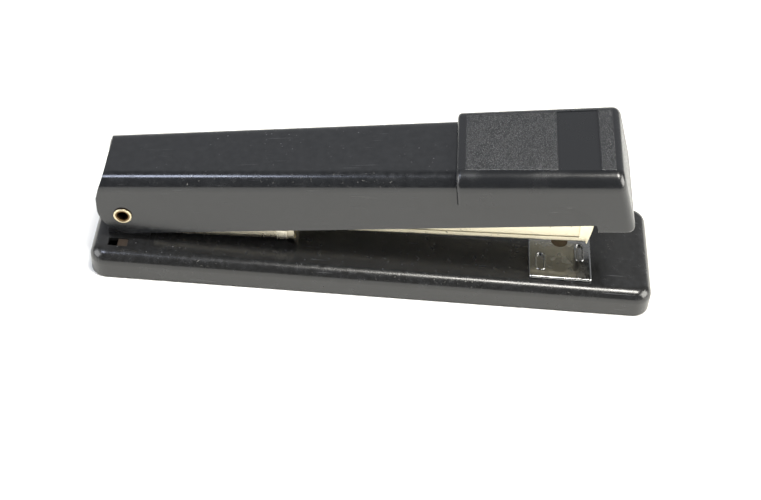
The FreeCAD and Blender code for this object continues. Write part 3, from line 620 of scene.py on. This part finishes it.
@dataclass
class Anvil:
    """The turning anvil: its plate, the raised lips round its grooves, its stud and button."""

    lip_wire: float = 0.32
    groove_half: float = 1.45
    groove_offset: float = 7.1
    groove_length: float = 8.0
    groove_end: float = 1.2
    lip_sunk: float = 0.12
    clinch_inner: float = 1.2
    pin_inner: float = 6.9
    # a grey mirror with cloudy patches, and a brown spot at its middle
    chrome: Plated = Plated(
        "chromed_anvil_plate", "#9c9d9d", 1.0, 0.14, stain="#4d4a44", stain_share=0.5, haze=0.2
    )
    stud: Plated = Plated("browned_brass_stud", "#5d5140", 1.0, 0.4, stain="#3a3226", stain_share=1.0)
    steel: Plated = Plated("bare_steel_button", "#8f8a80", 1.0, 0.35)

    def build(self) -> None:
        """Dress the anvil and raise a lip round each groove."""
        chrome = self.chrome.build()
        dress(chrome, "anvil_plate")
        dress(self.stud.build(), "anvil_stud")
        dress(self.steel.build(), "anvil_button")
        low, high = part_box("anvil_plate")
        centre = Vector(((low.x + high.x) / 2, 0, high.z))
        first = Vector((centre.x + self.groove_offset * MM, self.clinch_inner * MM, centre.z))
        lip = self.raise_lip(first, chrome)
        back = -2 * self.groove_offset * MM
        out = (self.pin_inner - self.clinch_inner) * MM
        clinch_over = -(2 * self.clinch_inner + self.groove_length) * MM
        pin_over = -(self.pin_inner + self.clinch_inner + self.groove_length) * MM
        repeat(lip, "clinch_groove_lip_near", Vector((0, clinch_over, 0)), "anvil")
        repeat(lip, "pin_groove_lip_far", Vector((back, out, 0)), "anvil")
        repeat(lip, "pin_groove_lip_near", Vector((back, pin_over, 0)), "anvil")

    def raise_lip(self, end: Vector, material: bpy.types.Material) -> bpy.types.Object:
        """Model the far clinch groove's lip: a ring drawn out along the groove into a long loop.

        Args:
            end: the groove's inner end on the plate's top, in metres.
            material: the plate's finish.

        Returns:
            The loop, riding on the anvil.
        """
        bpy.ops.object.select_all(action="DESELECT")
        bpy.ops.mesh.primitive_torus_add(
            location=end + Vector((0, self.groove_end, -self.lip_sunk)) * MM,
            major_radius=self.groove_half * MM,
            minor_radius=self.lip_wire * MM,
            major_segments=48,
            minor_segments=12,
        )
        piece = bpy.context.active_object
        bpy.ops.object.mode_set(mode="EDIT")
        bpy.ops.mesh.select_all(action="DESELECT")
        bpy.ops.object.mode_set(mode="OBJECT")
        for vertex in piece.data.vertices:
            vertex.select = vertex.co.y > 1e-6
        bpy.ops.object.mode_set(mode="EDIT")
        bpy.ops.transform.translate(value=(0, (self.groove_length - 2 * self.groove_end) * MM, 0))
        bpy.ops.object.mode_set(mode="OBJECT")
        drop(piece, "clinch_groove_lip_far", material, "anvil")
        return piece


@dataclass
class Magazine:
    """The nickelled magazine, its carrier, rail, pusher and springs."""

    # warm, soft nickel that reads as cream beside the black
    satin: Plated = Plated(
        "satin_nickel_magazine", "#ebe3cb", 1.0, 0.36, Axes.MAGAZINE, stain="#5b5140", stain_share=0.35
    )
    carrier: Plated = Plated("satin_nickel_carrier", "#d8d0bb", 1.0, 0.25, Axes.MAGAZINE, stain_share=0.3)
    bright: Plated = Plated("bright_nickel_leaf", "#e0dac8", 1.0, 0.2, Axes.MAGAZINE)
    steel: Plated = Plated("bare_steel_magazine", "#97938b", 1.0, 0.32, Axes.MAGAZINE)
    spring: Plated = Plated("spring_wire_magazine", "#7d7b77", 1.0, 0.3, Axes.MAGAZINE)

    def build(self) -> None:
        """Dress the magazine's pieces."""
        dress(self.satin.build(), "magazine_channel", "magazine_nose", "pusher")
        dress(self.carrier.build(), "magazine_carrier")
        dress(self.bright.build(), "lifter_spring")
        dress(
            self.steel.build(),
            "staple_rail", "rod_bracket", "guide_rod", "magazine_rivet_rear", "magazine_rivet_front",
        )
        dress(self.spring.build(), "pusher_spring")


@dataclass
class Handle:
    """The cover, the cap on its head, the driver and the return leaf."""

    # a slightly blue black with clear, narrow highlights
    enamel: Enamel = Enamel(
        "stoved_enamel_cover", "#191a1c", 0.0, 0.16, Axes.HANDLE,
        edge_y=9.6, edge_spread=0.0275, edge_z=13.0, wear=0.6, mottle=0.25, peel=0.02,
    )
    # glossy black borders round grained fields, greyed by dust and by a painted sheen
    plastic: PebbledCap = PebbledCap("moulded_abs_cap", "#191a1c", 0.0, 0.2, Axes.HANDLE)
    steel: Plated = Plated("bare_steel_handle", "#97938b", 1.0, 0.3, Axes.HANDLE)
    spring: Plated = Plated("blued_spring_leaf", "#6f7074", 1.0, 0.28, Axes.HANDLE)

    def build(self) -> None:
        """Dress the handle's pieces."""
        dress(self.enamel.build(), "cover")
        dress(self.plastic.build(), "head_cap")
        dress(self.steel.build(), "driver_blade", "driver_rivet_rear", "driver_rivet_front")
        dress(self.spring.build(), "handle_spring", "driver_strap", "cap_clip_near", "cap_clip_far")


@dataclass
class Studio:
    """A plain pale table, soft light and a camera over the stapler's long side."""

    lens: float = 74.2
    elevation: float = 45.02
    azimuth: float = 0.153
    roll: float = 4.177
    distance: float = 0.57984
    target: Vector = field(default_factory=lambda: Vector((0.002843, 0.000551, 0.0)))

    def build(self) -> None:
        """Lay the table, hang the lights and set up the camera."""
        self.table()
        self.light("ceiling_panel", Vector((0.27, -0.15, 1.2)), (0.3, 0.42), 17.0, "#fffcf4")
        self.light("window_panel", Vector((-0.5, -0.13, 1.1)), (0.26, 0.22), 3.8, "#dfe8ff")
        self.light("right_wall", Vector((1.5, -0.3, 0.75)), (1.2, 1.2), 52.0, "#fffdf6")
        self.light("left_wall", Vector((-1.5, -0.3, 0.75)), (1.2, 1.2), 27.0, "#fdfdff")
        self.sky()
        self.camera()
        bpy.context.scene.view_settings.view_transform = "Standard"

    def table(self) -> None:
        """Lay a matte white table top, larger than any view of the stapler."""
        bpy.ops.object.select_all(action="DESELECT")
        bpy.ops.mesh.primitive_plane_add(size=6.0, location=(0, 0, 0))
        top = bpy.context.active_object
        top.name = "table_top"
        material = bpy.data.materials.new("white_table")
        material.use_nodes = True
        tree = material.node_tree
        shader = tree.nodes["Principled BSDF"]
        shader.inputs["Roughness"].default_value = 0.8
        place = add_node(tree, "TexCoord", {})
        grain = add_node(tree, "TexNoise", {"Vector": place.outputs["Object"], "Scale": 6.0})
        tone = add_node(
            tree, "Mix",
            {"Factor": grain.outputs[0], "A": linear("#f6f5f0"), "B": linear("#fbfbf8")},
            data_type="RGBA",
        )
        tree.links.new(tone.outputs["Result"], shader.inputs["Base Color"])
        top.data.materials.append(material)

    def light(
        self, name: str, place: Vector, size: tuple[float, float], power: float, colour: str
    ) -> None:
        """Hang one panel light, facing the stapler.

        Args:
            name: the light's name.
            place: where it hangs, in metres.
            size: its length and width, in metres.
            power: its power, in watts.
            colour: its colour, as sRGB hex.
        """
        data = bpy.data.lights.new(name, "AREA")
        data.shape = "RECTANGLE"
        data.size, data.size_y = size
        data.energy = power
        data.color = linear(colour)[:3]
        lamp = bpy.data.objects.new(name, data)
        bpy.context.scene.collection.objects.link(lamp)
        lamp.location = place
        lamp.rotation_euler = (-place).to_track_quat("-Z", "Y").to_euler()

    def sky(self) -> None:
        """Make the room dim, with a paler, cool wall behind the stapler."""
        world = bpy.data.worlds.new("room")
        world.use_nodes = True
        tree = world.node_tree
        backdrop = tree.nodes["Background"]
        backdrop.inputs["Color"].default_value = linear("#f6f8fc")
        towards = add_node(tree, "TexCoord", {})
        parts = add_node(tree, "SeparateXYZ", {0: towards.outputs["Generated"]})
        wall = add_node(
            tree, "MapRange",
            {
                "Value": parts.outputs["Y"], "From Min": 0.45, "From Max": 0.72,
                "To Min": 0.12, "To Max": 0.57,
            },
        )
        tree.links.new(wall.outputs[0], backdrop.inputs["Strength"])
        bpy.context.scene.world = world

    def camera(self) -> None:
        """Aim the camera down at the long side, turned a little about its own axis."""
        e, a, r = (math.radians(v) for v in (self.elevation, self.azimuth, self.roll))
        back = Vector((math.sin(a) * math.cos(e), -math.cos(a) * math.cos(e), math.sin(e)))
        right = Vector((math.cos(a), math.sin(a), 0))
        up = back.cross(right)
        across = math.cos(r) * right + math.sin(r) * up
        above = math.cos(r) * up - math.sin(r) * right
        data = bpy.data.cameras.new("long_side_camera")
        data.lens = self.lens
        data.sensor_width = 36.0
        camera = bpy.data.objects.new("long_side_camera", data)
        bpy.context.scene.collection.objects.link(camera)
        turn = Matrix((across, above, back)).transposed().to_4x4()
        camera.matrix_world = Matrix.Translation(self.target + self.distance * back) @ turn
        bpy.context.scene.camera = camera


def main() -> None:
    """Build every sub-assembly, then the studio."""
    logging.basicConfig(level=logging.INFO, format="%(message)s")
    for assembly in (Base(), Anvil(), Magazine(), Handle(), Studio()):
        LOG.info("building %s", type(assembly).__name__)
        assembly.build()


if __name__ == "__main__":
    main()
